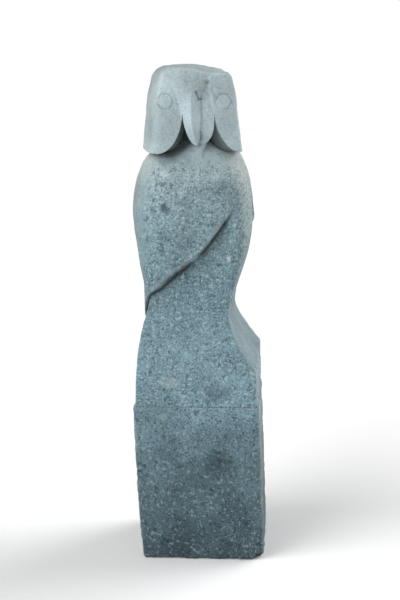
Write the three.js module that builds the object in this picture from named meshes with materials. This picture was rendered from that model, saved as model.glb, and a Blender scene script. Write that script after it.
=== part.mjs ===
// Cockatoo carved from one square block of stone, on a plinth of the same stone.
// Millimetres, +Z up, origin at the middle of the plinth's underside. The breast faces +X,
// the back -X, and the head is turned over the near shoulder to look out along -Y.
// The bird is one closed skin: rings of points that run round the stone, from the crown down
// over the hood of the head, in under its edge, out over the shoulders and the wings, in under
// the wings' lower edge, and down the flanks to the foot. Angles go anticlockwise seen from
// above: -90 is the near side, 0 the breast, 90 the far side and 180 the back.
import * as THREE from 'three';

// Driving dimensions
const crownHeight = 997;
const plinthHeight = 320;
const seamGap = 0.3;
const plinthHalfDepth = 119.5;
const blockHalfDepth = 118;
const footBack = -125;
const footBreast = 122;
const lipHeight = 403;
const lipBreast = 120.5;
const waistHeight = 502;
const waistBreast = 66.5;
const scoopPower = 1.45;
const scoopTilt = 10;
const neckHeight = 833;
const hollowHeight = 866;

// The head: where its axis stands, how far it is turned, and its crown
const headAxis = { x: -15.5, y: -5 };
const headTurn = THREE.MathUtils.degToRad(14);
const headLean = 2.5;
const crownRound = { left: 25, right: 9 };
const crownDome = 2;
const crownDrop = 18;
const crownDropStart = 925;

// The lower edge of the hood across the face. Places are parts of the half width, and a curl
// above one makes a curve hang straighter from its slit.
const hoodEdge = {
  lobeLeft: { at: -0.845, height: 822.5, curl: 1 },
  slitLeft: { at: -0.347, height: 900 },
  beakTip: { at: -0.035, height: 838 },
  slitRight: { at: 0.373, height: 897.5 },
  lobeRight: { height: 823, curl: 0.82 },
};
const beakCurl = { left: 0.75, right: 1.3 };
const edgeThickness = 14;
const edgeRise = 10;
const slitNarrowing = 14;

// Going up from this height the columns turn by this many degrees towards the head's own
const neckTurn = 9;
const neckTurnFrom = 770;

// How far below the wing's edge the flank takes to come back out to the block's face
const flankReach = 170;
const wingStepDrop = 2;

// The far wing's leading edge is a lip that stands out beside the breast
const farLip = { angle: 26, width: 14, out: 4, reach: 70 };

// Profiles as pairs of height and size
const breastProfile = [
  [waistHeight, waistBreast], [530, 71], [560, 80.5], [590, 91], [620, 100], [650, 106],
  [690, 109.5], [730, 107.5], [770, 103], [790, 98], [808, 91], [823, 82], [neckHeight, 66],
];
const backProfile = [
  [478, 109.5], [510, 108.5], [560, 110.5], [600, 118.5], [650, 127.5], [700, 133.5], [740, 131.5],
  [785, 121], [812, 107], [825, 93], [neckHeight, 74],
];
const flankBack = [
  [plinthHeight, -footBack], [400, 121.5], [440, 116.5], [484, 107.5], [520, 97.5], [560, 90],
  [600, 86],
];
const depthProfile = [
  [plinthHeight, blockHalfDepth], [500, 117.5], [620, 119], [690, 119.5], [740, 117],
  [780, 109], [808, 95], [822, 83], [neckHeight, 54],
];
const wingCorner = [[480, 0.34], [560, 0.45], [650, 0.6], [neckHeight, 0.9]];
const breastCorner = [[520, 0.04], [560, 0.2], [613, 0.36], [660, 0.46], [neckHeight, 0.9]];
const flankCorner = [[470, 0.04], [560, 0.14]];
const hoodHalfWidth = [
  [823, 97], [838, 94.3], [857, 92.5], [897, 88], [936, 84], [960, 79.5], [997, 71.5],
];
const hoodFront = [[823, 97], [900, 98], [940, 95], [997, 86]];
const hoodBack = [[823, 84], [890, 88], [940, 84], [997, 68]];
const hoodCorner = { front: 0.35, back: 0.6 };

// The beak stands out between the two slits: how far, where its ridge runs and how far each of
// its sides reaches. On its right the face is a low flat as far as the slit.
const beakOut = [[836, 12], [855, 16], [880, 18], [906, 16], [930, 10], [956, 0]];
const beakRidge = [[838, -4], [868, -8], [900, -8], [950, -3]];
const beakLeft = [[836, 20], [870, 23], [906, 23], [930, 19], [956, 14]];
const beakRight = [[836, 11], [868, 16], [900, 19], [930, 18], [956, 14]];
const chinOut = [[836, 4], [880, 4], [906, 2], [930, 0]];
const chinReach = 40;

// Round the body, pairs of angle and height or depth
const wingEdge = [
  [-180, 478], [-165, 482], [-150, 499], [-142, 520], [-135, 543], [-122, 564], [-113, 581],
  [-95, 607], [-79, 633], [-66, 668], [-57, 698], [-45, 742], [-20, 756], [0, 752], [12, 733],
  [20, 700], [27, 676], [40, 662], [60, 640], [90, 612], [113, 581], [122, 564], [135, 543],
  [142, 520], [150, 499], [165, 482], [180, 478],
];
const wingStep = [
  [-180, 6], [-150, 14], [-128, 16], [-90, 15], [-64, 13], [-57, 8], [-50, 2], [-45, 0], [0, 0],
  [14, 2], [35, 5], [60, 10], [90, 14], [128, 15], [150, 14], [180, 6],
];
const hoodSideEdge = [
  [-45, 823], [-20, 828], [45, 836], [90, 838], [135, 836], [180, 830], [212, 825.5], [225, 823.5],
  [232, 822.5],
];

// Columns of points round the stone, between the angles where an edge or a corner is fixed
const columns = { lobeLeft: 2, cheekLeft: 9, beakLeft: 6, beakRight: 8, cheekRight: 9, side: 9 };
const rows = { crown: 3, round: 4, hood: 8, underside: 2, shoulder: 13, flank: 10, foot: 2 };

// Cubic curve through pairs, level with the chord between each point's neighbours
function through(pairs, at) {
  const last = pairs.length - 1;
  if (at <= pairs[0][0]) return pairs[0][1];
  if (at >= pairs[last][0]) return pairs[last][1];
  let k = 0;
  while (pairs[k + 1][0] < at) k += 1;
  const slope = (i) => {
    const before = pairs[Math.max(i - 1, 0)];
    const after = pairs[Math.min(i + 1, last)];
    return (after[1] - before[1]) / (after[0] - before[0]);
  };
  const span = pairs[k + 1][0] - pairs[k][0];
  const t = (at - pairs[k][0]) / span;
  const start = pairs[k][1] * (1 + 2 * t) * (1 - t) ** 2 + slope(k) * span * t * (1 - t) ** 2;
  const end = pairs[k + 1][1] * t * t * (3 - 2 * t) + slope(k + 1) * span * t * t * (t - 1);
  return start + end;
}

const mix = THREE.MathUtils.lerp;
const clamp01 = (value) => THREE.MathUtils.clamp(value, 0, 1);

// Squareness of a rounded square whose corner radius is this part of its half width
function squareness(radius) {
  const diagonal = (Math.SQRT2 - (Math.SQRT2 - 1) * radius) ** 2;
  return 4 * (diagonal - 1) / diagonal ** 2;
}

// Point of the rounded unit square x² + y² - S x² y² = 1 in the direction of an angle
function roundedSquare(angle, radius) {
  const doubled = squareness(radius) * Math.sin(2 * angle) ** 2;
  const reach = doubled < 1e-9 ? 1 : Math.sqrt(2 * (1 - Math.sqrt(1 - doubled)) / doubled);
  return { x: reach * Math.cos(angle), y: reach * Math.sin(angle) };
}

// Breast line: upright foot, scooped hollow above its lip, then the belly and the breast
function breastAt(height) {
  if (height < lipHeight) {
    return mix(footBreast, lipBreast, (height - plinthHeight) / (lipHeight - plinthHeight));
  }
  if (height < waistHeight) {
    const fall = (waistHeight - height) / (waistHeight - lipHeight);
    return waistBreast + (lipBreast - waistBreast) * fall ** scoopPower;
  }
  return through(breastProfile, height);
}

const ease = (part) => part * part * (3 - 2 * part);

// One at the lip of the scoop, falling to nothing at the plinth and at the waist
function scoopPart(height) {
  const from = height < lipHeight ? plinthHeight : waistHeight;
  return ease(clamp01((height - from) / (lipHeight - from)));
}

// Point of the body's skin at an angle in degrees and a height. Below the wings' edge it is set
// in, with the upright corners of the block, and comes back out on the way down.
function bodyPoint(degrees, height, underWing) {
  const angle = THREE.MathUtils.degToRad(degrees);
  const atBack = Math.cos(angle) < 0;
  const edge = through(wingEdge, degrees);
  const settled = ease(clamp01((edge - height) / flankReach));
  const inset = underWing ? Math.max(0, through(wingStep, degrees)) * (1 - settled) : 0;
  const lip = underWing ? 0 : farLip.out * Math.exp(-(((degrees - farLip.angle) / farLip.width) ** 2))
    * clamp01(1 - (height - edge) / farLip.reach);
  const backRounding = through(underWing ? flankCorner : wingCorner, height);
  const unit = roundedSquare(angle, atBack ? backRounding : through(breastCorner, height));
  const breast = breastAt(height) - inset + lip;
  const back = through(underWing ? flankBack : backProfile, height);
  const aslant = scoopTilt * unit.y * Math.max(0, unit.x) * scoopPart(height);
  return new THREE.Vector3(
    (breast - back) / 2 + (breast + back) / 2 * unit.x,
    (through(depthProfile, height) - inset + lip) * unit.y,
    height + aslant,
  );
}

// How far the beak and the flat beside it stand out at a place across the face and a height
function beakRelief(across, height) {
  const aside = across - through(beakRidge, height);
  const reach = through(aside < 0 ? beakLeft : beakRight, height);
  const chin = aside < 0 ? 0 : through(chinOut, height) * ease(clamp01((chinReach - across) / 12));
  return chin + (through(beakOut, height) - chin) * (1 - clamp01(Math.abs(aside) / reach) ** 2);
}

const crownRadius = (unit) => mix(crownRound.left, crownRound.right, (unit.x + 1) / 2);

// Point of the hood: its place in the unit section, a height, and how far it is set in
function hoodPoint(unit, height, inset) {
  const radius = crownRadius(unit);
  const rounding = Math.max(0, height - (crownHeight - crownDome - radius));
  const shoulder = radius - Math.sqrt(Math.max(0, radius ** 2 - rounding ** 2));
  const across = (through(hoodHalfWidth, height) - shoulder - inset) * unit.x;
  const front = through(hoodFront, height) - shoulder - inset + beakRelief(across, height);
  const back = through(hoodBack, height) - shoulder - inset;
  const forward = -unit.y * (unit.y < 0 ? front : back);
  const lift = clamp01((height - crownDropStart) / (crownHeight - crownDropStart));
  const drop = crownDrop * lift * clamp01((across + 10) / 95) ** 1.3;
  return new THREE.Vector3(
    headAxis.x + headLean * lift + across * Math.cos(headTurn) + forward * Math.sin(headTurn),
    headAxis.y + across * Math.sin(headTurn) - forward * Math.cos(headTurn),
    height - drop,
  );
}

// Front of the hood's unit section at a part of its half width
function facePlace(at) {
  const square = squareness(hoodCorner.front);
  return { x: at, y: -Math.sqrt((1 - at * at) / (1 - square * at * at)) };
}

// Columns: each has an even angle round the stone and its own point of the hood's lower edge.
// On the face that point runs along a quarter ellipse from a slit's head to a lobe or the tip.
function makeColumns() {
  const list = [];
  const corner = roundedSquare(-Math.PI / 4, hoodCorner.front).x;
  const angleOf = (at) => {
    const place = facePlace(at);
    return THREE.MathUtils.radToDeg(Math.atan2(place.y, place.x));
  };
  const { lobeLeft, slitLeft, beakTip, slitRight, lobeRight } = hoodEdge;
  const right = { at: corner, height: lobeRight.height };

  function addFace(from, to, count, slitFirst, curl) {
    const slit = slitFirst ? from : to;
    const foot = slitFirst ? to : from;
    for (let i = 0; i < count; i += 1) {
      const turn = (slitFirst ? i : count - i) / count * Math.PI / 2;
      const aside = (1 - Math.cos(turn)) ** curl;
      const fall = Math.sin(turn);
      list.push({
        degrees: mix(angleOf(from.at), angleOf(to.at), i / count),
        at: mix(slit.at, foot.at, aside),
        height: mix(slit.height, foot.height, fall),
        under: mix(slit.height - slitNarrowing, foot.height + edgeRise, fall),
      });
    }
  }

  function addSide(from, to, count) {
    for (let i = 0; i < count; i += 1) {
      const degrees = mix(from, to, i / count);
      const height = through(hoodSideEdge, degrees);
      list.push({ degrees, height, under: height + edgeRise });
    }
  }

  addFace(lobeLeft, slitLeft, columns.cheekLeft, false, lobeLeft.curl);
  addFace(slitLeft, beakTip, columns.beakLeft, true, beakCurl.left);
  addFace(beakTip, slitRight, columns.beakRight, false, beakCurl.right);
  addFace(slitRight, right, columns.cheekRight, true, lobeRight.curl);
  addSide(-45, 45, columns.side);
  addSide(45, 135, columns.side);
  addSide(135, 225, columns.side);
  addSide(225, 360 + angleOf(lobeLeft.at), columns.lobeLeft);
  return list;
}

// Section place of a column: even round the stone, or drawn to its point of the hood's edge
function unitPlace(column, drawn) {
  const angle = THREE.MathUtils.degToRad(column.degrees);
  const even = roundedSquare(angle, Math.sin(angle) < 0 ? hoodCorner.front : hoodCorner.back);
  return column.at === undefined ? even : facePlace(mix(even.x, column.at, drawn));
}

const bodyDegrees = (column) => (column.degrees > 180 ? column.degrees - 360 : column.degrees);

// Point of the neck, the shoulders or the wings: up here the columns follow the turned head
function shoulderPoint(column, height) {
  const turned = ease(clamp01((height - neckTurnFrom) / (neckHeight - neckTurnFrom)));
  return bodyPoint(bodyDegrees(column) + neckTurn * turned, height, false);
}

// All rings of the bird, from the crown to the seam
function birdRings(list) {
  const rings = [];
  const addRing = (pointOf) => rings.push(list.map(pointOf));
  const roundTop = crownHeight - crownDome;

  for (let i = 1; i <= rows.crown; i += 1) {
    const part = i / (rows.crown + 1);
    addRing((column) => {
      const rim = hoodPoint(unitPlace(column, 0), roundTop, 0);
      const middle = hoodPoint({ x: 0, y: 0 }, roundTop, 0);
      const point = middle.lerp(rim, part);
      point.z += crownDome * (1 - part ** 2);
      return point;
    });
  }
  for (let i = 0; i <= rows.round; i += 1) {
    const turn = i / rows.round * Math.PI / 2;
    addRing((column) => {
      const unit = unitPlace(column, 0);
      return hoodPoint(unit, roundTop - crownRadius(unit) * (1 - Math.cos(turn)), 0);
    });
  }
  for (let i = 1; i <= rows.hood; i += 1) {
    const part = i / rows.hood;
    addRing((column) => {
      const start = roundTop - crownRadius(unitPlace(column, 0));
      return hoodPoint(unitPlace(column, part), mix(start, column.height, part), 0);
    });
  }
  const rimPoint = (column) => hoodPoint(unitPlace(column, 1), column.under, edgeThickness);
  addRing(rimPoint);
  const neckTop = (column) => hollowHeight + Math.max(0, column.under - 850) * 0.5;
  for (let i = 1; i <= rows.underside; i += 1) {
    const part = i / rows.underside;
    addRing((column) => {
      const neck = shoulderPoint(column, neckHeight);
      neck.z = neckTop(column);
      return rimPoint(column).lerp(neck, part);
    });
  }
  for (let i = 0; i <= rows.shoulder; i += 1) {
    const part = (i / rows.shoulder) ** 1.8;
    addRing((column) => {
      const edge = through(wingEdge, bodyDegrees(column));
      return shoulderPoint(column, mix(neckHeight, edge, part));
    });
  }
  for (let i = 0; i <= rows.flank; i += 1) {
    const part = i / rows.flank;
    addRing((column) => {
      const degrees = bodyDegrees(column);
      const start = through(wingEdge, degrees) - wingStepDrop;
      return bodyPoint(degrees, mix(start, lipHeight, part), true);
    });
  }
  for (let i = 1; i <= rows.foot; i += 1) {
    const height = mix(lipHeight, plinthHeight + seamGap, i / rows.foot);
    addRing((column) => bodyPoint(bodyDegrees(column), height, true));
  }
  return rings;
}

// Closed skin of rings that run anticlockwise, from the top ring down, with a fan at each end
function skinOf(rings, topCentre, bottomCentre) {
  const count = rings[0].length;
  const points = [topCentre, ...rings.flat(), bottomCentre];
  const indices = [];
  const at = (i, j) => 1 + i * count + (j % count);
  for (let j = 0; j < count; j += 1) {
    indices.push(0, at(0, j), at(0, j + 1));
    indices.push(points.length - 1, at(rings.length - 1, j + 1), at(rings.length - 1, j));
  }
  for (let i = 0; i + 1 < rings.length; i += 1) {
    for (let j = 0; j < count; j += 1) {
      const [a, b, c, d] = [at(i, j), at(i + 1, j), at(i + 1, j + 1), at(i, j + 1)];
      if (points[a].distanceTo(points[c]) < points[b].distanceTo(points[d])) {
        indices.push(a, b, c, a, c, d);
      } else {
        indices.push(a, b, d, b, c, d);
      }
    }
  }
  const geometry = new THREE.BufferGeometry().setFromPoints(points);
  geometry.setIndex(indices);
  geometry.computeVertexNormals();
  return geometry;
}

function stone(color) {
  return new THREE.MeshStandardMaterial({ color, roughness: 0.92, metalness: 0 });
}

function makeCockatoo() {
  const rings = birdRings(makeColumns());
  const top = hoodPoint({ x: 0, y: 0 }, crownHeight - crownDome, 0);
  top.z += crownDome;
  const bottom = new THREE.Vector3(0, 0, plinthHeight + seamGap);
  const mesh = new THREE.Mesh(skinOf(rings, top, bottom), stone(0x7f99a2));
  mesh.name = 'cockatoo';
  return mesh;
}

// Plinth: a roughly squared block whose foot stands a little towards the breast's side
const plinthTop = { back: -129, breast: 124.5 };
const plinthFoot = { back: -115, breast: 132.7 };
const plinthBow = 2.5;
const plinthSkew = 1.4;
const plinthCornerRadius = 0.05;
const plinthChamfer = 4;

function makePlinth() {
  const sides = 48;
  const heights = [plinthHeight, plinthHeight - plinthChamfer, 240, 160, 80, plinthChamfer * 2, 0];
  const rings = heights.map((height) => {
    const part = 1 - height / plinthHeight;
    const back = mix(plinthTop.back, plinthFoot.back, part) - plinthBow * Math.sin(part * Math.PI);
    const breast = mix(plinthTop.breast, plinthFoot.breast, part);
    const inset = height === plinthHeight ? 1 : (height === 0 ? plinthChamfer : 0);
    const ring = [];
    for (let j = 0; j < sides; j += 1) {
      const unit = roundedSquare((j / sides * 360 - 135) * Math.PI / 180, plinthCornerRadius);
      ring.push(new THREE.Vector3(
        (back + breast) / 2 + ((breast - back) / 2 - inset) * unit.x
          - plinthSkew * unit.y * Math.max(0, unit.x),
        (plinthHalfDepth - inset) * unit.y,
        height,
      ));
    }
    return ring;
  });
  const top = new THREE.Vector3(0, 0, plinthHeight);
  const bottom = new THREE.Vector3(0, 0, 0);
  const mesh = new THREE.Mesh(skinOf(rings, top, bottom), stone(0x5f7680));
  mesh.name = 'plinth';
  return mesh;
}

const sculpture = new THREE.Group();
sculpture.add(makePlinth(), makeCockatoo());

export default sculpture;
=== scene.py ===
import math

import bpy
import numpy as np
from mathutils import Matrix, Vector


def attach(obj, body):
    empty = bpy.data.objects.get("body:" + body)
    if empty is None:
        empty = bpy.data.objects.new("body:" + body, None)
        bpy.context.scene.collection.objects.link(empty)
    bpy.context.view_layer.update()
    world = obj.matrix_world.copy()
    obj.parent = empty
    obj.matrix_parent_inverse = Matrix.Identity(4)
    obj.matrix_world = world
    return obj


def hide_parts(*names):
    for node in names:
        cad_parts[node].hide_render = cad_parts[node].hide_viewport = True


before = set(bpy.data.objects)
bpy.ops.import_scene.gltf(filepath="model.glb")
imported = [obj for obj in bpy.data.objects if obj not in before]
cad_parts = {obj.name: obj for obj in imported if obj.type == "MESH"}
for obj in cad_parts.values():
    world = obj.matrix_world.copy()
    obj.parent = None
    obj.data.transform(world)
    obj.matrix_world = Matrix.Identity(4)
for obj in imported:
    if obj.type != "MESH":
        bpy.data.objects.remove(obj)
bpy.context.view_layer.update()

print("frame loaded:", sorted(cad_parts))

mm = 0.001


# Camera

cameraSetup = {
    "place": (0.2109, -2.39142, 0.9355),
    "look": (-0.08681, 0.98134, -0.17157),
    "rollDegrees": -0.738,
    "lens": 70.752,
    "sensorHeight": 36,
}


def makeCamera(setup):
    # looks along one direction from one place, rolled about that direction
    data = bpy.data.cameras.new("camera")
    data.sensor_fit = "VERTICAL"
    data.sensor_height = setup["sensorHeight"]
    data.lens = setup["lens"]
    camera = bpy.data.objects.new("camera", data)
    turn = Vector(setup["look"]).to_track_quat("-Z", "Y").to_matrix().to_4x4()
    roll = Matrix.Rotation(math.radians(setup["rollDegrees"]), 4, "Z")
    camera.matrix_world = Matrix.Translation(setup["place"]) @ turn @ roll
    bpy.context.scene.collection.objects.link(camera)
    bpy.context.scene.camera = camera


makeCamera(cameraSetup)
print("camera placed")


# Curves and sections shared by both pieces

def through(pairs, at):
    # cubic curve through pairs, level with the chord between each point's neighbours
    knots, values = np.array(pairs, float).T
    slopes = np.empty_like(values)
    slopes[1:-1] = (values[2:] - values[:-2]) / (knots[2:] - knots[:-2])
    slopes[[0, -1]] = (values[[1, -1]] - values[[0, -2]]) / (knots[[1, -1]] - knots[[0, -2]])
    at = np.clip(at, knots[0], knots[-1])
    k = np.clip(np.searchsorted(knots, at) - 1, 0, len(knots) - 2)
    span = knots[k + 1] - knots[k]
    t = (at - knots[k]) / span
    start = values[k] * (1 + 2 * t) * (1 - t) ** 2 + slopes[k] * span * t * (1 - t) ** 2
    return start + values[k + 1] * t * t * (3 - 2 * t) + slopes[k + 1] * span * t * t * (t - 1)


def mix(a, b, part):
    return a + (b - a) * part


def ease(part):
    # 3 t² - 2 t³ between 0 and 1
    part = np.clip(part, 0, 1)
    return part * part * (3 - 2 * part)


def squareness(radius):
    # of a rounded square whose corner radius is this part of its half width
    diagonal = (math.sqrt(2) - (math.sqrt(2) - 1) * radius) ** 2
    return 4 * (diagonal - 1) / diagonal ** 2


def roundedSquare(angle, radius):
    # point of the unit square x² + y² - S x² y² = 1 in the direction of an angle
    doubled = np.maximum(squareness(radius) * np.sin(2 * angle) ** 2, 1e-9)
    reach = np.sqrt(2 * (1 - np.sqrt(1 - doubled)) / doubled)
    return reach * np.cos(angle), reach * np.sin(angle)


def waves(points, length, seed, count=28):
    # sum of cosine waves of about one length, in random directions with random phases;
    # its spread is about 1
    rng = np.random.default_rng(seed)
    ways = rng.normal(size=(count, 3))
    ways /= np.linalg.norm(ways, axis=1, keepdims=True)
    lengths = length * rng.uniform(0.75, 1.35, count)
    phases = rng.uniform(0, 2 * np.pi, count)
    field = np.zeros(points.shape[:-1])
    for way, one, phase in zip(ways, lengths, phases):
        field += np.cos(points @ way * (2 * np.pi / one) + phase)
    return field * math.sqrt(2 / count)


def gridNormals(points):
    # down the rows × along the columns, which go anticlockwise
    along = np.roll(points, -1, axis=1) - np.roll(points, 1, axis=1)
    down = np.gradient(points, axis=0)
    normals = np.cross(down, along)
    return normals / np.maximum(np.linalg.norm(normals, axis=2, keepdims=True), 1e-9)


def softened(values, times, weight=0.5):
    # each point moves towards the mean of its four neighbours on the grid
    for _ in range(times):
        inner = np.pad(values, [(1, 1)] + [(0, 0)] * (values.ndim - 1), mode="edge")
        around = (inner[:-2] + inner[2:] + np.roll(values, 1, 1) + np.roll(values, -1, 1)) / 4
        values = values + weight * (around - values)
    return values


def closedSkin(name, rings, top, bottom, masks):
    # one quad between each two points of two rings, and a fan at each end
    rowCount, columnCount = rings.shape[:2]
    points = np.vstack([rings.reshape(-1, 3), top, bottom]) * mm
    at = np.arange(rowCount * columnCount).reshape(rowCount, columnCount)
    after = np.roll(at, -1, axis=1)
    quads = np.stack([at[:-1], at[1:], after[1:], after[:-1]], axis=-1).reshape(-1, 4)
    topIndex = len(points) - 2
    upper = np.stack([np.full(columnCount, topIndex), at[0], after[0]], axis=-1)
    lower = np.stack([np.full(columnCount, topIndex + 1), after[-1], at[-1]], axis=-1)
    mesh = bpy.data.meshes.new(name)
    mesh.vertices.add(len(points))
    mesh.vertices.foreach_set("co", points.ravel())
    corners = np.concatenate([quads.ravel(), upper.ravel(), lower.ravel()])
    sizes = np.concatenate([np.full(len(quads), 4), np.full(2 * columnCount, 3)])
    mesh.loops.add(len(corners))
    mesh.loops.foreach_set("vertex_index", corners.astype(np.int32))
    mesh.polygons.add(len(sizes))
    starts = np.concatenate([[0], np.cumsum(sizes)[:-1]])
    mesh.polygons.foreach_set("loop_start", starts.astype(np.int32))
    mesh.polygons.foreach_set("use_smooth", np.ones(len(sizes), bool))
    for maskName, values in masks.items():
        attribute = mesh.attributes.new(maskName, "FLOAT", "POINT")
        ends = [values[0].mean(), values[-1].mean()]
        attribute.data.foreach_set("value", np.concatenate([values.ravel(), ends]).astype(np.float32))
    mesh.update(calc_edges=True)
    mesh.validate()
    piece = bpy.data.objects.new(name, mesh)
    bpy.context.scene.collection.objects.link(piece)
    return piece


def edgeMasks(rings, times):
    # how far the stone stands out from its own softened shape, and how far it sinks in, in mm
    proud = ((rings - softened(rings, times)) * gridNormals(rings)).sum(axis=2)
    return np.clip(proud, 0, None), np.clip(-proud, 0, None)


def spotMask(points, spots, seed, soft=0.5):
    # ragged ellipses on the near side: middle across, height, half width, half height, strength
    x, z = points[..., 0], points[..., 2]
    nearSide = ease(-points[..., 1] / 20 - 3)
    rag = waves(points, 9, seed) * 0.18 + waves(points, 4.5, seed + 1) * 0.1
    mask = np.zeros(points.shape[:-1])
    for middle, height, halfWidth, halfHeight, strength in spots:
        apart = np.hypot((x - middle) / halfWidth, (z - height) / halfHeight) + rag
        mask = np.maximum(mask, strength * ease((1 + soft - apart) / (2 * soft)))
    return mask * nearSide


def grooveDepth(across, height, path, width):
    # one on a path of straight lengths, falling to nothing at half the width from it
    nearest = np.full(across.shape, 1e9)
    for (x0, z0), (x1, z1) in zip(path[:-1], path[1:]):
        length = (x1 - x0) ** 2 + (z1 - z0) ** 2
        part = np.clip(((across - x0) * (x1 - x0) + (height - z0) * (z1 - z0)) / length, 0, 1)
        nearest = np.minimum(nearest, np.hypot(across - x0 - part * (x1 - x0),
                                               height - z0 - part * (z1 - z0)))
    return ease(1 - nearest / (width / 2))


# The cockatoo

bird = {
    "crownHeight": 997, "plinthHeight": 320, "seamGap": 0.3,
    "footBreast": 122, "lipHeight": 403, "lipBreast": 120.5,
    "waistHeight": 502, "waistBreast": 66.5, "scoopPower": 1.45, "scoopTilt": 10,
    "neckHeight": 833, "hollowHeight": 866,
    "headAxis": (-15.5, -5), "headTurn": 14, "headLean": 2.5,
    "crownRoundLeft": 25, "crownRoundRight": 9, "crownDome": 2,
    "crownDrop": 18, "crownDropStart": 925,
    "edgeThickness": 14, "edgeRise": 10, "slitNarrowing": 14, "wallDepth": 24,
    "wallLeft": 0.05, "wallRight": -0.1, "chinBack": 4, "chinFall": 0.5, "chinSoftening": 6, "riseFrom": 795,
    "neckTurn": 9, "neckTurnFrom": 770, "flankReach": 170, "wingStepDrop": 2,
    "farLipAngle": 26, "farLipWidth": 14, "farLipOut": 4, "farLipReach": 70,
    "hoodCornerFront": 0.35, "hoodCornerBack": 0.6, "stripFade": 5,
    "nostril": (-7, 11, 944, 925.5), "nostrilSlant": 0.42, "nostrilDepth": 7,
    "lobeLeft": (-0.845, 822.5, 1), "slitLeft": (-0.347, 900), "beakTip": (-0.035, 838),
    "slitRight": (0.373, 897.5), "lobeRight": (823, 0.82),
    "beakCurlLeft": 0.75, "beakCurlRight": 1.3,
}

birdProfiles = {
    "breast": [(502, 66.5), (530, 71), (560, 80.5), (590, 91), (620, 100), (650, 106), (690, 109.5),
               (730, 107.5), (770, 103), (790, 98), (808, 91), (823, 82), (833, 66)],
    "back": [(478, 109.5), (510, 108.5), (560, 110.5), (600, 118.5), (650, 127.5), (700, 133.5),
             (740, 131.5), (785, 121), (812, 107), (825, 93), (833, 74)],
    "flankBack": [(320, 125), (400, 121.5), (440, 116.5), (484, 107.5), (520, 97.5), (560, 90),
                  (600, 86)],
    "depth": [(320, 118), (500, 117.5), (620, 119), (690, 119.5), (740, 117), (780, 109),
              (808, 95), (822, 83), (833, 54)],
    "wingCorner": [(480, 0.34), (560, 0.45), (650, 0.6), (833, 0.9)],
    "breastCorner": [(520, 0.04), (560, 0.2), (613, 0.36), (660, 0.46), (833, 0.9)],
    "flankCorner": [(470, 0.04), (560, 0.14)],
    "hoodHalfWidth": [(823, 97), (838, 94.3), (857, 92.5), (897, 88), (936, 84), (960, 79.5),
                      (997, 71.5)],
    "hoodFront": [(823, 97), (900, 98), (940, 95), (997, 86)],
    "hoodBack": [(823, 84), (890, 88), (940, 84), (997, 68)],
    "wingEdge": [(-180, 478), (-165, 482), (-150, 499), (-142, 520), (-135, 543), (-122, 564),
                 (-113, 581), (-95, 607), (-79, 633), (-66, 668), (-57, 698), (-45, 742),
                 (-20, 756), (0, 752), (12, 733), (20, 700), (27, 676), (40, 662), (60, 640),
                 (90, 612), (113, 581), (122, 564), (135, 543), (142, 520), (150, 499),
                 (165, 482), (180, 478)],
    "wingStep": [(-180, 6), (-150, 14), (-128, 16), (-90, 15), (-64, 13), (-57, 8), (-50, 2),
                 (-45, 0), (0, 0), (14, 2), (35, 5), (60, 10), (90, 14), (128, 15), (150, 14),
                 (180, 6)],
    "hoodSideEdge": [(-45, 823), (-20, 828), (45, 836), (90, 838), (135, 836), (180, 830),
                     (212, 825.5), (225, 823.5), (232, 822.5)],
}

# the beak's lines: where they run across the face, and how far they stand out, at each height
beakLines = {
    "leftFoot": [(838, -12), (850, -21), (862, -27), (880, -31), (900, -33), (920, -37),
                 (940, -44), (960, -52), (985, -56)],
    "crest": [(838, -3.6), (853, -8.5), (870, -13), (880, -14.5), (918, -15), (945, -12.5),
              (960, -12.5), (975, -10.5), (990, -9)],
    "crestOut": [(838, 12), (855, 15.5), (880, 17.5), (906, 16), (925, 12.5), (945, 8.5),
                 (960, 5.5), (978, 2.5), (990, 0)],
    "rightFoot": [(838, 3), (848, 5), (865, 7.7), (930, 7.7), (945, 14), (960, 20), (990, 22)],
    "footOut": [(838, 6), (860, 5), (880, 4.5), (906, 2.5), (925, -0.5), (945, -3.5), (965, -4),
                (980, -1.5), (990, 0)],
    "stripOut": [(838, 3), (860, 2), (880, 1.5), (906, -0.5), (925, -3), (945, -4.5), (965, -4),
                 (980, -1.5), (990, 0)],
    "stripEnd": [(848, 26), (870, 29), (897, 31), (925, 26), (945, 22), (985, 21)],
}

# across the head: how far the chest comes up to the chin, and how much of it joins the chin
chestRise = [(-60, 0), (-47, 0), (-30, 6), (-17, 12), (-4, 19), (10, 22), (20, 21), (41, 12.5),
             (62, 5.5), (85, 0)]
chinJoin = [(-8, 0), (0, 0.3), (5, 1), (17, 1), (22, 0.6), (27, 0)]

birdMesh = {
    "cheekLeft": 38, "beakLeft": 26, "beakRight": 30, "cheekRight": 38,
    "breastSide": 46, "farSide": 36, "backSide": 40, "lobeLeft": 8,
    "crown": 8, "round": 14, "hood": 84, "wall": 6, "underside": 6, "shoulder": 110,
    "flank": 100, "foot": 26,
}

# how dark the stone is drawn where light hardly reaches: strengths, and falls in mm
shadeParts = {
    "wall": (0.72, 0.85), "neck": 0.6, "fullStep": 12, "wingLine": [(0.7, 2.5), (0.22, 14)],
}


def breastAt(height):
    # upright foot, scooped hollow above its lip, then the belly and the breast
    foot = mix(bird["footBreast"], bird["lipBreast"],
               (height - bird["plinthHeight"]) / (bird["lipHeight"] - bird["plinthHeight"]))
    fall = (bird["waistHeight"] - height) / (bird["waistHeight"] - bird["lipHeight"])
    scoop = mix(bird["waistBreast"], bird["lipBreast"], np.clip(fall, 0, 1) ** bird["scoopPower"])
    upper = through(birdProfiles["breast"], height)
    return np.where(height < bird["lipHeight"], foot, np.where(height < bird["waistHeight"], scoop, upper))


def scoopPart(height):
    # one at the lip of the scoop, falling to nothing at the plinth and at the waist
    start = np.where(height < bird["lipHeight"], bird["plinthHeight"], bird["waistHeight"])
    return ease((height - start) / (bird["lipHeight"] - start))


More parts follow.
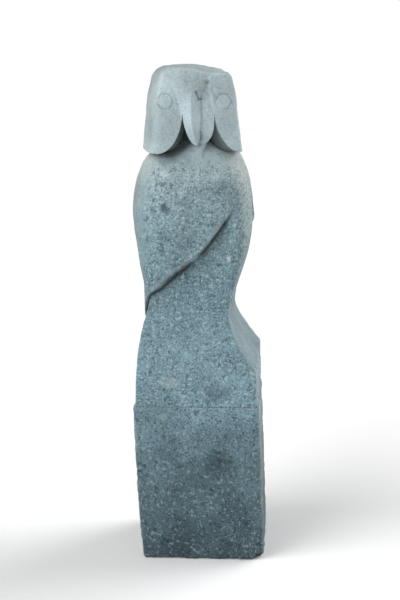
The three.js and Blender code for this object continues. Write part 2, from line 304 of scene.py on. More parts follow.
def bodyPoint(degrees, height, underWing):
    # rounded-square section from four profiles, set in below the wings' edge, with a lip at
    # the far wing's leading edge
    degrees, height = np.broadcast_arrays(degrees, height)
    angle = np.radians(degrees)
    atBack = np.cos(angle) < 0
    edge = through(birdProfiles["wingEdge"], degrees)
    if underWing:
        settled = ease((edge - height) / bird["flankReach"])
        out = -np.maximum(0, through(birdProfiles["wingStep"], degrees)) * (1 - settled)
        backRounding = through(birdProfiles["flankCorner"], height)
        back = through(birdProfiles["flankBack"], height)
    else:
        near = np.exp(-((degrees - bird["farLipAngle"]) / bird["farLipWidth"]) ** 2)
        out = bird["farLipOut"] * near * np.clip(1 - (height - edge) / bird["farLipReach"], 0, 1)
        backRounding = through(birdProfiles["wingCorner"], height)
        back = through(birdProfiles["back"], height)
    rounding = np.where(atBack, backRounding, through(birdProfiles["breastCorner"], height))
    x, y = roundedSquare(angle, rounding)
    breast = breastAt(height) + out
    aslant = bird["scoopTilt"] * y * np.maximum(0, x) * scoopPart(height)
    return np.stack([
        (breast - back) / 2 + (breast + back) / 2 * x,
        (through(birdProfiles["depth"], height) + out) * y,
        height + aslant,
    ], axis=-1)


def beakRelief(across, height):
    # straight faces between four lines that run down the face: the beak's left foot, its crest,
    # the foot of its right side and the end of the low strip beside it
    line = {name: through(pairs, height) for name, pairs in beakLines.items()}
    leftPart = np.clip((across - line["leftFoot"]) / (line["crest"] - line["leftFoot"]), 0, 1)
    rightPart = np.clip((across - line["crest"]) / (line["rightFoot"] - line["crest"]), 0, 1)
    leftSide = line["crestOut"] * leftPart ** 0.85
    rightSide = mix(line["crestOut"], line["footOut"], rightPart ** 1.15)
    strip = line["stripOut"] * (1 - ease((across - line["stripEnd"]) / bird["stripFade"]))
    out = np.where(across < line["crest"], leftSide, rightSide)
    return np.where(across > line["rightFoot"], strip, out)


def nostrilDepth(across, height):
    # a three-sided notch at the head of the beak: deepest along its left edge, where it is cut
    # straight down, and rising to nothing towards the right
    left, right, top, bottom = bird["nostril"]
    slant = left + (top - height) * bird["nostrilSlant"]
    inside = ease((across - slant) / 1.5) * ease((height - bottom) / 1.5) * ease((top - height) / 3)
    return bird["nostrilDepth"] * inside * np.clip(1 - (across - slant) / (right - left), 0, 1)


def crownRadius(x):
    return mix(bird["crownRoundLeft"], bird["crownRoundRight"], (x + 1) / 2)


def headToWorld(across, forward, height, lift):
    # the head's own axes are turned about its upright axis, which leans a little
    turn = math.radians(bird["headTurn"])
    axisX, axisY = bird["headAxis"]
    return np.stack([
        axisX + bird["headLean"] * lift + across * math.cos(turn) + forward * math.sin(turn),
        axisY + across * math.sin(turn) - forward * math.cos(turn),
        height,
    ], axis=-1)


def worldToHead(points):
    # across and forward in the head's own axes
    turn = math.radians(bird["headTurn"])
    x = points[..., 0] - bird["headAxis"][0]
    y = points[..., 1] - bird["headAxis"][1]
    return x * math.cos(turn) + y * math.sin(turn), x * math.sin(turn) - y * math.cos(turn)


def hoodPoint(x, y, height, inset):
    # a place in the unit section, a height, and how far it is set in; the crown is rounded
    # and falls away to the right
    radius = crownRadius(x)
    rounding = np.maximum(0, height - (bird["crownHeight"] - bird["crownDome"] - radius))
    shoulder = radius - np.sqrt(np.maximum(0, radius ** 2 - rounding ** 2))
    across = (through(birdProfiles["hoodHalfWidth"], height) - shoulder - inset) * x
    relief = beakRelief(across, height) - nostrilDepth(across, height)
    front = through(birdProfiles["hoodFront"], height) - shoulder - inset + relief
    back = through(birdProfiles["hoodBack"], height) - shoulder - inset
    forward = -y * np.where(y < 0, front, back)
    start = bird["crownDropStart"]
    lift = np.clip((height - start) / (bird["crownHeight"] - start), 0, 1)
    drop = bird["crownDrop"] * lift * np.clip((across + 10) / 95, 0, 1) ** 1.3
    return headToWorld(across, forward, height - drop, lift)


def facePlace(at):
    # front of the hood's unit section at a part of its half width
    square = squareness(bird["hoodCornerFront"])
    return -np.sqrt((1 - at * at) / (1 - square * at * at))


def makeColumns():
    # each column has an even angle and its own point of the hood's lower edge: on the face a
    # quarter ellipse from a slit's head to a lobe or to the tip of the beak
    corner = float(roundedSquare(-math.pi / 4, bird["hoodCornerFront"])[0])
    rightAt, rightHeight, rightCurl = corner, *bird["lobeRight"]
    leftAt, leftHeight, leftCurl = bird["lobeLeft"]
    tipAt, tipHeight = bird["beakTip"]
    parts = []

    def angleOf(at):
        return math.degrees(math.atan2(facePlace(at), at))

    def addFace(fromAt, toAt, foot, slit, count, slitFirst, curl, wall=0):
        step = np.arange(count) / count
        turn = (step if slitFirst else 1 - step) * math.pi / 2
        aside = (1 - np.cos(turn)) ** curl
        fall = np.sin(turn)
        parts.append(np.stack([
            mix(angleOf(fromAt), angleOf(toAt), step),
            mix(slit[0], foot[0], aside),
            mix(slit[1], foot[1], fall),
            mix(slit[1] - bird["slitNarrowing"], foot[1] + bird["edgeRise"], fall),
            wall * np.sin(turn * 2) ** 0.6,
        ]))

    def addSide(start, end, count):
        degrees = mix(start, end, np.arange(count) / count)
        height = through(birdProfiles["hoodSideEdge"], degrees)
        none = np.full(count, np.nan)
        parts.append(np.stack([degrees, none, height, height + bird["edgeRise"], 0 * height]))

    left, right = bird["slitLeft"], bird["slitRight"]
    tip = (tipAt, tipHeight)
    addFace(leftAt, left[0], (leftAt, leftHeight), left, birdMesh["cheekLeft"], False, leftCurl,
            bird["wallLeft"])
    addFace(left[0], tipAt, tip, left, birdMesh["beakLeft"], True, bird["beakCurlLeft"])
    addFace(tipAt, right[0], tip, right, birdMesh["beakRight"], False, bird["beakCurlRight"])
    addFace(right[0], rightAt, (rightAt, rightHeight), right, birdMesh["cheekRight"], True, rightCurl,
            bird["wallRight"])
    addSide(-45, 45, birdMesh["breastSide"])
    addSide(45, 135, birdMesh["farSide"])
    addSide(135, 225, birdMesh["backSide"])
    addSide(225, 360 + angleOf(leftAt), birdMesh["lobeLeft"])
    names = ("degrees", "at", "height", "under", "wall")
    return dict(zip(names, np.concatenate(parts, axis=1)))


def unitPlace(column, drawn):
    # even round the stone, or drawn to the column's own point of the hood's edge
    angle = np.radians(column["degrees"])
    frontX, frontY = roundedSquare(angle, bird["hoodCornerFront"])
    backX, backY = roundedSquare(angle, bird["hoodCornerBack"])
    evenX = np.where(np.sin(angle) < 0, frontX, backX)
    evenY = np.where(np.sin(angle) < 0, frontY, backY)
    onFace = ~np.isnan(column["at"])
    faceX = mix(frontX, np.where(onFace, column["at"], frontX), drawn)
    faceX = np.where(onFace, faceX, 0)
    return np.where(onFace, faceX, evenX), np.where(onFace, facePlace(faceX), evenY)


def makeBirdRings():
    # crown, rounding, hood, rim, underside, shoulders and wings, flanks, foot
    column = makeColumns()
    degrees = np.where(column["degrees"] > 180, column["degrees"] - 360, column["degrees"])
    roundTop = bird["crownHeight"] - bird["crownDome"]
    sections = {}

    def steps(name, first, last):
        return (np.arange(first, last + 1) / birdMesh[name])[:, None]

    x, y = unitPlace(column, 0)
    middle = hoodPoint(np.zeros(1), np.zeros(1), np.full(1, roundTop), 0)
    part = (np.arange(1, birdMesh["crown"] + 1) / (birdMesh["crown"] + 1))[:, None]
    crown = mix(middle[None], hoodPoint(x, y, roundTop, 0)[None], part[..., None])
    crown[..., 2] += bird["crownDome"] * (1 - part ** 2)
    sections["crown"] = crown

    turn = steps("round", 0, birdMesh["round"]) * math.pi / 2
    sections["round"] = hoodPoint(x[None], y[None], roundTop - crownRadius(x) * (1 - np.cos(turn)), 0)

    part = steps("hood", 1, birdMesh["hood"])
    hoodX, hoodY = unitPlace(column, part)
    start = roundTop - crownRadius(x)
    sections["hood"] = hoodPoint(hoodX, hoodY, mix(start, column["height"], part), 0)

    # the walls of the two slits lean in a little, so that they show
    rimX, rimY = unitPlace(column, 1)
    leaning = np.abs(column["wall"]) / max(abs(bird["wallRight"]), abs(bird["wallLeft"]))
    rimHeight = mix(column["under"], np.minimum(column["under"], column["height"] - 4), leaning)
    rimX = np.where(leaning > 0, rimX + column["wall"], rimX)
    rimY = np.where(leaning > 0, facePlace(rimX), rimY)
    rim = hoodPoint(rimX, rimY, rimHeight, mix(bird["edgeThickness"], bird["wallDepth"], leaning))

    def shoulderPoint(height):
        # up here the columns follow the turned head, and the near side rises to the chin
        turned = ease((height - bird["neckTurnFrom"]) / (bird["neckHeight"] - bird["neckTurnFrom"]))
        point = bodyPoint(degrees + bird["neckTurn"] * turned, height, False)
        across, forward = worldToHead(point)
        part = ease((height - bird["riseFrom"]) / (bird["neckHeight"] - bird["riseFrom"]))
        rise = np.where(forward > 0, through(chestRise, across), 0) * part
        point[..., 2] += rise
        return point, part

    # the chin stands on the chest: its edge is carried down into it
    lowest = sections["hood"][-1]
    across, forward = worldToHead(lowest)
    joined = np.where(forward > 0, through(chinJoin, across), 0)
    turn = math.radians(bird["headTurn"])
    back = bird["chinBack"] * np.array([-math.sin(turn), math.cos(turn), 0])
    chin = lowest + back - [0, 0, 1]
    rim = mix(rim, lowest + back / 2, joined[:, None])
    part = (np.arange(1, birdMesh["wall"] + 1) / birdMesh["wall"])[:, None] ** 1.6
    sections["wall"] = mix(lowest[None], rim[None], part[..., None])

    neck, _ = shoulderPoint(np.full(len(degrees), float(bird["neckHeight"])))
    neck[:, 2] = np.maximum(bird["hollowHeight"] + np.maximum(0, column["under"] - 850) * 0.5,
                            neck[:, 2] + 12)
    neck = mix(neck, chin, joined[:, None])
    part = steps("underside", 1, birdMesh["underside"])
    sections["underside"] = mix(rim[None], neck[None], part[..., None])

    edge = through(birdProfiles["wingEdge"], degrees)
    part = steps("shoulder", 0, birdMesh["shoulder"]) ** 1.8
    height = mix(bird["neckHeight"], edge[None], part)
    shoulder, high = shoulderPoint(height)
    fall = (bird["neckHeight"] - height) * bird["chinFall"] + 2
    chinLine = chin[None] - fall[..., None] * np.array([0, 0, 1])
    joining = mix(shoulder, chinLine, (joined * high)[..., None])
    sections["shoulder"] = mix(joining, softened(joining, bird["chinSoftening"]), high[..., None])

    part = steps("flank", 0, birdMesh["flank"])
    height = mix(edge[None] - bird["wingStepDrop"], bird["lipHeight"], part)
    sectionHeights = {"flank": height}
    sections["flank"] = bodyPoint(degrees[None], height, True)

    part = steps("foot", 1, birdMesh["foot"])
    height = mix(bird["lipHeight"], bird["plinthHeight"] + bird["seamGap"], part)
    sections["foot"] = bodyPoint(degrees[None], height, True)

    rows = {}
    first = 0
    for name, points in sections.items():
        rows[name] = (first, first + len(points))
        first += len(points)
    top = hoodPoint(np.zeros(1), np.zeros(1), np.full(1, roundTop), 0)
    top[:, 2] += bird["crownDome"]
    rings = np.concatenate(list(sections.values()))

    # shade: one inside the hollow under the hood, less on its walls, and a thin line with a
    # soft band below it under the wings' edge, as strong as the step is deep
    part = np.linspace(0, 1, birdMesh["wall"])[:, None]
    shade = np.zeros(rings.shape[:2])
    shade[slice(*rows["wall"])] = mix(*shadeParts["wall"], part)
    shade[slice(*rows["underside"])] = 1
    shade[rows["shoulder"][0]] = shadeParts["neck"]
    below = edge - bird["wingStepDrop"] - sectionHeights["flank"]
    step = np.clip(through(birdProfiles["wingStep"], degrees) / shadeParts["fullStep"], 0, 1)
    for strength, fall in shadeParts["wingLine"]:
        shade[slice(*rows["flank"])] += step * strength * np.exp(-below / fall)
    return rings, rows, top, shade * (1 - joined)


# carving and wear of the face, in the head's own across and height
faceMarks = {
    "eyes": [
        {"at": (-62, 924), "radius": 15, "depth": 3.0, "deepAt": 165, "spread": 0.45},
        {"at": (52, 922), "radius": 15, "depth": 2.4, "deepAt": 45, "spread": 0.75},
    ],
    "eyeGroove": 3.4, "eyeCorners": 0.045, "eyeDome": 1.0,
    "grooves": [
        {"path": [(6.5, 882), (6, 872), (5.5, 864), (7.5, 857), (3.5, 846), (0, 839)],
         "width": 4, "depth": 2.6},
        {"path": [(-86, 925), (-80, 918), (-81, 907), (-85, 890), (-94, 884)], "width": 4, "depth": 0.9},
        {"path": [(38, 951), (43, 948), (50, 946)], "width": 4, "depth": 1.3},
        {"path": [(47, 966), (51, 967), (53, 963)], "width": 4, "depth": 0.9},
        {"path": [(-16, 947), (14, 942)], "width": 4, "depth": 1.4},
        {"path": [(25, 974), (36, 976), (46, 979)], "width": 3, "depth": 0.6},
    ],
    "pits": [(23, 959, 5, 2.5), (-59, 965, 4, 1.2), (-27, 981, 3, 1.2), (-46, 890, 4, 1),
             (64, 877, 3, 1.4), (-40, 926, 4, 1), (-36, 918, 3, 0.9), (30, 944, 6, 1.4)],
    # the crown's front edge is cut back below it by this much, across the head
    "bevel": [(-75, 3), (-36, 6), (-8, 10), (11, 15), (25, 18), (46, 9), (66, 4), (80, 2)],
    "bevelSlope": 0.75,
}


def faceCarving(points):
    # depth to cut away on the face: rings round the eyes, grooves, pits and the crown's bevel
    across, forward = worldToHead(points)
    height = points[..., 2]
    depth = np.zeros(across.shape)
    for eye in faceMarks["eyes"]:
        x, z = across - eye["at"][0], height - eye["at"][1]
        # on the round of the head the ring keeps its width as it turns away
        angle = np.arctan2(z, x)
        radius = eye["radius"] * (1 + faceMarks["eyeCorners"] * np.cos(6 * angle))
        apart = np.hypot(x, z)
        strength = mix(1 - eye["spread"], 1, (1 + np.cos(angle - math.radians(eye["deepAt"]))) / 2)
        ring = ease(1 - np.abs(apart - radius) / (faceMarks["eyeGroove"] / 2))
        depth += eye["depth"] * strength * ring
        depth -= faceMarks["eyeDome"] * np.clip(1 - (apart / radius) ** 2, 0, 1)
    for groove in faceMarks["grooves"]:
        depth += groove["depth"] * grooveDepth(across, height, groove["path"], groove["width"])
    for x, z, radius, deep in faceMarks["pits"]:
        depth += deep * ease(1.3 - np.hypot(across - x, height - z) / radius)
    fall = through([(-80, 994), (-30, 995), (9, 991.8), (48, 982), (71, 974)], across)
    bevel = through(faceMarks["bevel"], across)
    depth += faceMarks["bevelSlope"] * np.clip(height - (fall - bevel), 0, bevel)
    return depth * ease(forward / 30)


# stains and pale places on the near side: across, height, half width, half height, strength
birdSpots = {
    "dark": [(-57, 718, 8, 9, 1), (-82, 715, 4, 4, 0.6), (-61, 764, 6, 5, 0.6), (-78, 736, 4, 4, 0.6),
             (-92, 657, 5, 6, 0.6), (-59, 660, 9, 7, 0.5), (-62, 635, 5, 4, 0.6), (-17, 727, 4, 4, 0.5),
             (10, 748, 6, 4, 0.5), (-3, 582, 3, 3, 0.9), (37, 348, 24, 16, 0.55), (60, 352, 14, 12, 0.5),
             (55, 759, 9, 8, 0.4), (50, 668, 16, 30, 0.35), (-35, 600, 14, 10, 0.3), (20, 610, 12, 8, 0.3)],
    "pale": [(-59, 784, 9, 6, 0.8), (-27, 748, 9, 4, 0.7), (30, 705, 5, 3, 0.7), (-21, 699, 2.5, 2, 1),
             (66, 619, 4, 6, 1), (110, 393, 2.5, 2.5, 1), (-51, 370, 20, 11, 0.4), (42, 777, 9, 6, 0.5)],
}

wear = {"least": 0.45, "tooling": 0.5, "toolingLength": 48, "ripple": 0.22, "rippleLength": 15}


def makeCockatoo():
    rings, rows, top, shade = makeBirdRings()
    row = np.arange(len(rings))[:, None, None]
    rounding = {"hood": (rows["wall"][0] - 0.5, 2.5, 1), "wing": (rows["shoulder"][1] - 0.5, 2, 1)}
    for edgeRow, reach, times in rounding.values():
        rings = mix(rings, softened(rings, times), ease(1 - np.abs(row - edgeRow) / reach))
    face = slice(rows["round"][0], rows["hood"][1] - 3)
    rings[face] = softened(rings[face], 1)
    normals = gridNormals(rings)
    skin = np.r_[0:rows["hood"][1], rows["shoulder"][0] + 3:len(rings) - 2]
    depth = np.zeros(rings.shape[:2])
    hood = slice(rows["round"][0], rows["hood"][1])
    depth[hood] = faceCarving(rings[hood])
    rough = wear["tooling"] * waves(rings, wear["toolingLength"], 11)
    rough += wear["ripple"] * waves(rings, wear["rippleLength"], 12)
    depth[skin] += np.maximum(wear["least"], rough[skin] + wear["tooling"] * 1.5)
    rings = rings - normals * depth[..., None]
    top[:, 2] -= depth[0].mean()
    proud, hollow = edgeMasks(rings, 10)
    height = rings[..., 2]
    inScoop = ease((normals[..., 0] - 0.55) / 0.3) * ease((520 - height) / 30) * ease((height - 395) / 12)
    rubbed = np.maximum.reduce([
        ease((height - 778) / 40), 0.9 * inScoop,
        0.75 * ease((-normals[..., 0] - 0.3) / 0.4) * ease((height - 560) / 80),
    ])
    aside = ease((1 + normals[..., 1] - 0.12) / 0.6)
    masks = {
        "proud": proud, "hollow": hollow, "shade": shade, "rubbed": rubbed, "aside": aside,
        "stain": spotMask(rings, birdSpots["dark"], 21), "bloom": spotMask(rings, birdSpots["pale"], 31),
    }
    piece = closedSkin("cockatooStone", rings, top, [[0, 0, rings[-1, 0, 2]]], masks)
    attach(piece, "root")
    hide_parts("cockatoo")
    return piece


cockatoo = makeCockatoo()
print("cockatoo made:", len(cockatoo.data.polygons), "faces")


# The plinth

plinth = {
    "height": 320, "halfDepth": 119.5,
    "topBack": -129, "topBreast": 124.5, "footBack": -115, "footBreast": 132.7,
    "bow": 2.5, "skew": 1.4, "cornerRadius": 0.05, "chamfer": 4,
    "columns": 360, "rows": 130, "lid": 30,
    "brokenEdge": 2.2, "brokenCorner": (131, -116, 26, 14),
}


plinthSpots = {
    "dark": [(44, 206, 26, 30, 0.6), (69, 208, 3.5, 3, 1), (68, 219, 3, 2.5, 1), (27, 150, 3, 2.5, 1),
             (97, 101, 3.5, 3.5, 1), (-89, 63, 3, 3, 1), (-62, 39, 3, 3, 1), (57, 54, 3, 2.5, 1),
             (49, 42, 3, 2.5, 1), (-122, 296, 3, 4, 0.8)],
    "pale": [(-68, 300, 12, 7, 0.5), (-26, 259, 7, 6, 0.4), (51, 128, 2.5, 2.5, 1)],
}


def makePlinth():
    # rounded-square rings whose back and breast lines lean to the foot's own sides
    angle = np.radians(np.arange(plinth["columns"]) / plinth["columns"] * 360 - 135)
    x, y = roundedSquare(angle, plinth["cornerRadius"])
    part = np.linspace(0, 1, plinth["rows"])[:, None]
    back = mix(plinth["topBack"], plinth["footBack"], part) - plinth["bow"] * np.sin(part * math.pi)
    breast = mix(plinth["topBreast"], plinth["footBreast"], part)
    height = plinth["height"] * (1 - part)
    inset = np.maximum(0, 1 - part * 60) + plinth["chamfer"] * np.maximum(0, 1 - (1 - part) * 50)
    sides = np.stack(np.broadcast_arrays(
        (back + breast) / 2 + ((breast - back) / 2 - inset) * x
        - plinth["skew"] * y * np.maximum(0, x),
        (plinth["halfDepth"] - inset) * y,
        height,
    ), axis=-1)
    # the lower edge is broken unevenly, most at the near corner on the breast's side
    uneven = plinth["brokenEdge"] * np.clip(0.8 + waves(sides[-1], 55, 41) * 0.5
                                            + waves(sides[-1], 14, 42) * 0.3, 0, 3)
    cornerX, cornerY, cornerReach, cornerRise = plinth["brokenCorner"]
    apart = np.hypot(sides[-1, :, 0] - cornerX, sides[-1, :, 1] - cornerY)
    uneven += cornerRise * ease(1 - apart / cornerReach)
    lift = uneven * ease(1 - height / 40) ** 1.5
    sides[..., 2] += lift
    normals = gridNormals(sides)
    rough = wear["tooling"] * waves(sides, wear["toolingLength"], 43)
    rough += wear["ripple"] * 1.6 * waves(sides, wear["rippleLength"], 44)
    depth = np.maximum(0, rough + wear["tooling"] * 1.5) * ease((part - 0.01) / 0.03)
    depth = depth + lift * 0.25
    normals[..., 2] = 0
    sides = sides - normals * depth[..., None]
    part = (np.arange(1, plinth["lid"]) / plinth["lid"])[:, None, None]
    top = np.array([[0, 0, plinth["height"]]], float)
    bottom = np.array([[0, 0, 0]], float)
    under = mix(sides[-1:], bottom[None], part)
    under[..., 2] *= ease(1 - part[..., 0] * 4)
    rings = np.concatenate([mix(top[None], sides[:1], part), sides, under])
    proud, hollow = edgeMasks(rings, 8)
    normals = gridNormals(rings)
    masks = {
        "proud": proud, "hollow": hollow, "shade": 0 * proud, "rubbed": 0 * proud,
        "aside": ease((1 + normals[..., 1] - 0.12) / 0.6),
        "stain": spotMask(rings, plinthSpots["dark"], 22), "bloom": spotMask(rings, plinthSpots["pale"], 32),
    }
    piece = closedSkin("plinthStone", rings, top, bottom, masks)
    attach(piece, "root")
    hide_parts("plinth")
    return piece


plinthStone = makePlinth()
print("plinth made:", len(plinthStone.data.polygons), "faces")


# Stone materials

def addNode(tree, kind, settings=None, **inputs):
    # a shader node; an input is a value or the socket that feeds it, with _ for a space
    node = tree.nodes.new("ShaderNode" + kind)
    for name, value in (settings or {}).items():
        setattr(node, name, value)
    for name, value in inputs.items():
        socket = node.inputs[name.replace("_", " ")]
        if isinstance(value, bpy.types.NodeSocket):
            tree.links.new(value, socket)
        else:
            socket.default_value = value
    return node


def feed(tree, socket, value):
    if isinstance(value, bpy.types.NodeSocket):
        tree.links.new(value, socket)
    elif isinstance(value, tuple) and len(value) == 3:
        socket.default_value = (*value, 1)
    else:
        socket.default_value = value


def mixColours(tree, factor, a, b, blend="MIX"):
    node = tree.nodes.new("ShaderNodeMix")
    node.data_type = "RGBA"
    node.blend_type = blend
    feed(tree, node.inputs[0], factor)
    feed(tree, node.inputs[6], a)
    feed(tree, node.inputs[7], b)
    return node.outputs[2]


def calculate(tree, operation, a, b=0.0, clamp=False):
    node = tree.nodes.new("ShaderNodeMath")
    node.operation = operation
    node.use_clamp = clamp
    feed(tree, node.inputs[0], a)
    feed(tree, node.inputs[1], b)
    return node.outputs[0]


def remap(tree, value, low, high, newLow=0.0, newHigh=1.0):
    node = tree.nodes.new("ShaderNodeMapRange")
    node.interpolation_type = "SMOOTHSTEP"
    for index, part in enumerate((value, low, high, newLow, newHigh)):
        feed(tree, node.inputs[index], part)
    return node.outputs[0]


def makeGroup(name, inputs, outputs):
    # a node group with named sockets; an input is (name, kind, default)
    group = bpy.data.node_groups.new(name, "ShaderNodeTree")
    for socketName, kind, default in inputs:
        socket = group.interface.new_socket(socketName, in_out="INPUT", socket_type="NodeSocket" + kind)
        if default is not None:
            socket.default_value = default
    for socketName, kind in outputs:
        group.interface.new_socket(socketName, in_out="OUTPUT", socket_type="NodeSocket" + kind)
    return group, group.nodes.new("NodeGroupInput").outputs, group.nodes.new("NodeGroupOutput").inputs


def useGroup(tree, group, **inputs):
    node = tree.nodes.new("ShaderNodeGroup")
    node.node_tree = group
    for name, value in inputs.items():
        feed(tree, node.inputs[name], value)
    return node.outputs


def makeGrainGroup():
    # fine grain: tone about 1, and a height for bump
    group, given, out = makeGroup(
        "stoneGrain",
        [("Place", "Vector", None), ("Size", "Float", 4.0), ("Contrast", "Float", 0.4)],
        [("Tone", "Float"), ("Height", "Float")])
    scale = calculate(group, "DIVIDE", 1000.0, given["Size"])
    fine = addNode(group, "TexNoise", Vector=given["Place"], Scale=scale, Detail=3.0, Roughness=0.7)
    tone = calculate(group, "SUBTRACT", fine.outputs["Fac"], 0.5)
    tone = calculate(group, "MULTIPLY", tone, given["Contrast"])
    group.links.new(calculate(group, "ADD", tone, 1.0), out["Tone"])
    group.links.new(fine.outputs["Fac"], out["Height"])
    return group


def makeSpotsGroup():
    # irregular grains: where a noise passes a threshold
    group, given, out = makeGroup(
        "stoneSpots",
        [("Place", "Vector", None), ("Size", "Float", 6.0), ("From", "Float", 0.6),
         ("To", "Float", 0.68)],
        [("Mask", "Float")])
    scale = calculate(group, "DIVIDE", 1000.0, given["Size"])
    spots = addNode(group, "TexNoise", Vector=given["Place"], Scale=scale, Detail=2.0, Roughness=0.6)
    group.links.new(remap(group, spots.outputs["Fac"], given["From"], given["To"]), out["Mask"])
    return group


def makeFragmentsGroup():
    # scattered angular fragments: a share of the cells of a bent cell pattern
    group, given, out = makeGroup(
        "stoneFragments",
        [("Place", "Vector", None), ("Size", "Float", 20.0), ("Share", "Float", 0.1)],
        [("Mask", "Float")])
    scale = calculate(group, "DIVIDE", 1000.0, given["Size"])
    bend = addNode(group, "TexNoise", Vector=given["Place"],
                   Scale=calculate(group, "MULTIPLY", scale, 2.2), Detail=2.0)
    shift = addNode(group, "VectorMath", {"operation": "SUBTRACT"})
    group.links.new(bend.outputs["Color"], shift.inputs[0])
    shift.inputs[1].default_value = (0.5, 0.5, 0.5)
    size = addNode(group, "VectorMath", {"operation": "SCALE"})
    group.links.new(shift.outputs[0], size.inputs[0])
    group.links.new(calculate(group, "MULTIPLY", given["Size"], 0.0011), size.inputs["Scale"])
    place = addNode(group, "VectorMath", {"operation": "ADD"})
    group.links.new(given["Place"], place.inputs[0])
    group.links.new(size.outputs[0], place.inputs[1])
    cells = addNode(group, "TexVoronoi", Vector=place.outputs[0], Scale=scale)
    parts = addNode(group, "SeparateColor", Color=cells.outputs["Color"])
    chosen = calculate(group, "LESS_THAN", parts.outputs[0], given["Share"])
    radius = calculate(group, "ADD", calculate(group, "MULTIPLY", parts.outputs[1], 0.28), 0.12)
    inside = remap(group, cells.outputs["Distance"], radius,
                   calculate(group, "MULTIPLY", radius, 0.6))
    group.links.new(calculate(group, "MULTIPLY", chosen, inside), out["Mask"])
    return group


def makeCloudGroup():
    # broad soft mottles from -1 to 1
    group, given, out = makeGroup(
        "stoneClouds", [("Place", "Vector", None), ("Size", "Float", 60.0)], [("Tone", "Float")])
    scale = calculate(group, "DIVIDE", 1000.0, given["Size"])
    cloud = addNode(group, "TexNoise", Vector=given["Place"], Scale=scale, Detail=3.0, Roughness=0.55)
    group.links.new(remap(group, cloud.outputs["Fac"], 0.3, 0.7, -1.0, 1.0), out["Tone"])
    return group


groups = {
    "grain": makeGrainGroup(), "spots": makeSpotsGroup(), "fragments": makeFragmentsGroup(),
    "clouds": makeCloudGroup(),
}

# colours are linear; the tones run up the stone, in metres, on the near side; they hold the stone's own
# lighter head and painted shade: a darker band below the wings' edge and a plinth darker towards its foot
stoneLooks = {
    "cockatoo": {
        "tonesAndShade": [(0.32, (0.170, 0.268, 0.314)), (0.40, (0.176, 0.274, 0.318)),
                  (0.45, (0.180, 0.279, 0.323)), (0.52, (0.140, 0.224, 0.260)),
                  (0.58, (0.138, 0.220, 0.256)), (0.64, (0.163, 0.250, 0.278)),
                  (0.70, (0.188, 0.278, 0.308)), (0.75, (0.235, 0.330, 0.356)),
                  (0.79, (0.310, 0.405, 0.425)), (0.84, (0.400, 0.500, 0.528)),
                  (1.00, (0.425, 0.510, 0.530))],
        "pale": (0.46, 0.56, 0.58), "dark": (0.035, 0.062, 0.070),
        "sideLightingLow": (1.15, 0.99, 0.92), "sideLightingHigh": (0.80, 0.77, 0.76), "sideLightingFrom": (0.78, 0.86),
        "grain": 2.8, "cloud": 0.14, "edge": 0.18, "rubbedGrain": 0.3,
    },
    "plinth": {
        "tonesAndShade": [(0.0, (0.058, 0.089, 0.104)), (0.07, (0.064, 0.101, 0.119)),
                  (0.14, (0.084, 0.132, 0.156)), (0.20, (0.102, 0.160, 0.188)),
                  (0.26, (0.130, 0.205, 0.240)), (0.32, (0.172, 0.268, 0.316))],
        "pale": (0.30, 0.38, 0.39), "dark": (0.018, 0.030, 0.034),
        "sideLightingLow": (1.40, 1.17, 1.03), "sideLightingHigh": (1.40, 1.17, 1.03), "sideLightingFrom": (0.78, 0.86),
        "grain": 3.0, "cloud": 0.2, "edge": 0.15, "rubbedGrain": 0.3,
    },
}


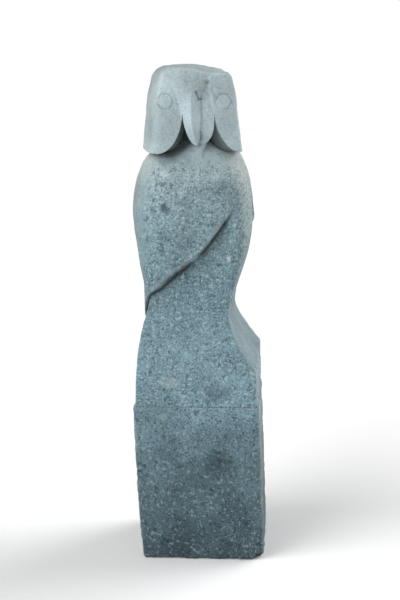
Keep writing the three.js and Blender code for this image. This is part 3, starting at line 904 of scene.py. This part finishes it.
def makeStone(name, look):
    material = bpy.data.materials.new(name)
    material.use_nodes = True
    tree = material.node_tree
    tree.nodes.clear()
    place = addNode(tree, "TexCoord").outputs["Object"]
    height = addNode(tree, "SeparateXYZ", Vector=place).outputs["Z"]

    def mask(maskName):
        return addNode(tree, "Attribute", {"attribute_name": maskName}).outputs["Fac"]

    def part(value, strength):
        return calculate(tree, "MULTIPLY", value, strength)

    # colour by height: partly the stone's own tone, partly painted shade under the wings and low on the
    # plinth
    ramp = addNode(tree, "ValToRGB", Fac=height)
    stops = ramp.color_ramp.elements
    while len(stops) < len(look["tonesAndShade"]):
        stops.new(1.0)
    for stop, (position, colour) in zip(stops, look["tonesAndShade"]):
        stop.position = position
        stop.color = (*colour, 1)
    base = ramp.outputs["Color"]

    # painted light and shade: surfaces turned away from the near side are drawn greyer, lighter on the
    # plinth, and darker round the head
    turned = remap(tree, height, *look["sideLightingFrom"])
    sideLighting = mixColours(tree, turned, look["sideLightingLow"], look["sideLightingHigh"])
    base = mixColours(tree, mask("aside"), base, mixColours(tree, 1.0, base, sideLighting, "MULTIPLY"))

    # broad mottles, then the grain, which is finer and fainter where the stone is rubbed
    roughness = remap(tree, mask("rubbed"), 0.0, 1.0, 1.0, look["rubbedGrain"])
    cloud = useGroup(tree, groups["clouds"], Place=place, Size=70.0)["Tone"]
    base = mixColours(tree, 1.0, base, calculate(tree, "ADD", part(cloud, look["cloud"]), 1.0), "MULTIPLY")
    grain = useGroup(tree, groups["grain"], Place=place, Size=3.4, Contrast=look["grain"])
    tone = calculate(tree, "ADD", part(calculate(tree, "SUBTRACT", grain["Tone"], 1.0), roughness), 1.0)
    base = mixColours(tree, 1.0, base, tone, "MULTIPLY")
    dark = useGroup(tree, groups["spots"], Place=place, Size=8.0, From=0.57, To=0.66)["Mask"]
    base = mixColours(tree, part(part(dark, roughness), 0.55), base, look["dark"])
    shifted = addNode(tree, "Mapping", Vector=place)
    shifted.inputs["Location"].default_value = (0.31, 0.17, 0.23)
    shifted = shifted.outputs[0]
    pale = useGroup(tree, groups["spots"], Place=shifted, Size=6.0, From=0.57, To=0.66)["Mask"]
    base = mixColours(tree, part(part(pale, roughness), 0.5), base, look["pale"])
    fragments = useGroup(tree, groups["fragments"], Place=place, Size=24.0, Share=0.12)["Mask"]
    base = mixColours(tree, part(part(fragments, roughness), 0.5), base, look["dark"])

    # known stains and pale places and worn edges, then painted shade: darker in creases, and near black
    # where light hardly reaches
    base = mixColours(tree, part(mask("stain"), 0.75), base, look["dark"])
    base = mixColours(tree, part(mask("bloom"), 0.8), base, look["pale"])
    worn = remap(tree, mask("proud"), 0.3, 1.6)
    base = mixColours(tree, part(worn, look["edge"]), base, look["pale"])
    # painted shade in creases, where the stone sinks in from its softened shape
    creaseShade = remap(tree, mask("hollow"), 0.3, 2.0)
    base = mixColours(tree, part(creaseShade, 0.55), base, look["dark"])
    # painted shade: near black inside the hollow under the hood, on the slits' walls and in a line with a
    # soft band under the wings' edge
    base = mixColours(tree, part(mask("shade"), 0.93), base, (0.004, 0.008, 0.009))

    pits = calculate(tree, "SUBTRACT", part(grain["Height"], roughness), part(dark, 0.4))
    bump = addNode(tree, "Bump", Height=pits, Strength=0.4, Distance=0.0015)
    shader = addNode(tree, "BsdfPrincipled", Base_Color=base, Roughness=0.9,
                     Normal=bump.outputs["Normal"])
    shader.inputs["Specular IOR Level"].default_value = 0.2
    output = tree.nodes.new("ShaderNodeOutputMaterial")
    tree.links.new(shader.outputs[0], output.inputs["Surface"])
    return material


cockatoo.data.materials.append(makeStone("cockatoo stone", stoneLooks["cockatoo"]))
plinthStone.data.materials.append(makeStone("plinth stone", stoneLooks["plinth"]))
print("stone materials made")


# Floor, lights and surroundings

studio = {
    "floorSize": 60, "floorColour": (1, 1, 1), "skyForCamera": 1.0, "skyForLight": 0.26,
    "lights": {
        "topLeft": {"from": (-0.6, -0.5, 0.6), "strength": 0.63, "spreadDegrees": 50},
        "left": {"from": (-0.8, -0.6, 0.25), "strength": 0.16, "spreadDegrees": 50},
        "rightBack": {"from": (0.8, 0.5, 0.4), "strength": 0.90, "spreadDegrees": 50},
    },
}


def makeStudio():
    # a flat floor, soft lights from both sides, and an even white sky
    half = studio["floorSize"] / 2
    mesh = bpy.data.meshes.new("floor")
    mesh.from_pydata([(-half, -half, 0), (half, -half, 0), (half, half, 0), (-half, half, 0)], [],
                     [(0, 1, 2, 3)])
    floor = bpy.data.objects.new("floor", mesh)
    bpy.context.scene.collection.objects.link(floor)
    paint = bpy.data.materials.new("floor paint")
    paint.use_nodes = True
    shader = paint.node_tree.nodes["Principled BSDF"]
    shader.inputs["Base Color"].default_value = (*studio["floorColour"], 1)
    shader.inputs["Roughness"].default_value = 0.9
    mesh.materials.append(paint)
    for name, light in studio["lights"].items():
        # strength 1 lights a white sheet that faces it to white
        data = bpy.data.lights.new(name, "SUN")
        data.energy = light["strength"] * math.pi
        data.angle = math.radians(light["spreadDegrees"])
        lamp = bpy.data.objects.new(name, data)
        lamp.rotation_euler = (-Vector(light["from"])).to_track_quat("-Z", "Y").to_euler()
        bpy.context.scene.collection.objects.link(lamp)
    world = bpy.data.worlds.new("studio")
    bpy.context.scene.world = world
    world.use_nodes = True
    tree = world.node_tree
    isCamera = tree.nodes.new("ShaderNodeLightPath").outputs["Is Camera Ray"]
    strength = tree.nodes.new("ShaderNodeMix")
    feed(tree, strength.inputs[0], isCamera)
    feed(tree, strength.inputs[2], studio["skyForLight"])
    feed(tree, strength.inputs[3], studio["skyForCamera"])
    background = tree.nodes["Background"]
    background.inputs["Color"].default_value = (1, 1, 1, 1)
    tree.links.new(strength.outputs[0], background.inputs["Strength"])
    bpy.context.scene.view_settings.view_transform = "Standard"


makeStudio()
print("studio made")
